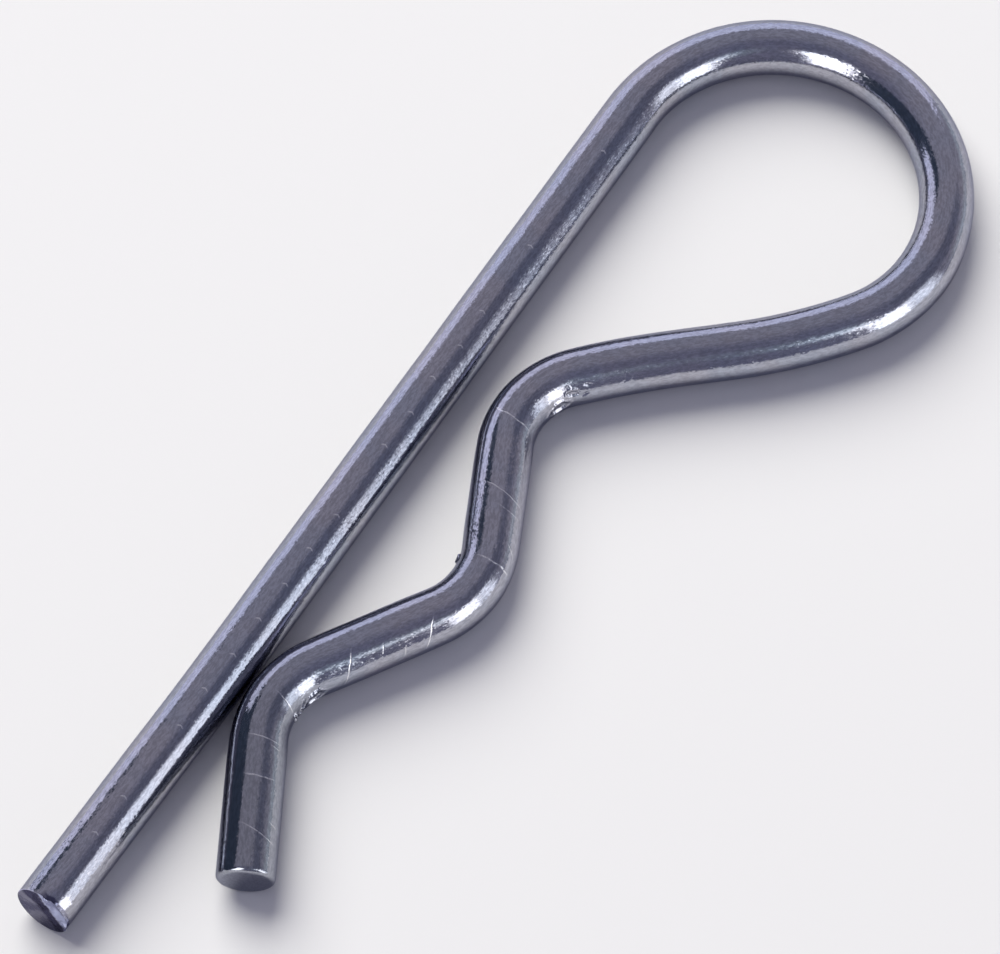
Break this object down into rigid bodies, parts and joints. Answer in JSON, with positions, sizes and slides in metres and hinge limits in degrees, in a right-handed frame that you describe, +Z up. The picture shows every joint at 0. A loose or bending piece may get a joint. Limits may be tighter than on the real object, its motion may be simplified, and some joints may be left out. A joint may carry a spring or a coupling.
{
  "type": "hitch r clip pin",
  "caption": "Spring wire hitch R-clip: a round loop, a straight leg that goes through a hitch pin's cross hole and a waved leg that snaps round the pin's outside.",
  "frame": {"origin": "centre of the bounding box in plan, on the surface that the clip lies on", "axes": "+X along the straight leg from the loop towards its tip, +Y from the straight leg towards the waved leg, +Z up, square to the plane in which the wire is bent"},
  "size_m": [0.0968, 0.0318, 0.0045],
  "materials": {
    "zinc_wire": "bright zinc plate on drawn spring wire, bluish, with fine draw lines, scratches and forming marks"
  },
  "bodies": {
    "root": {"clip": "zinc_wire"}
  },
  "joints": []
}
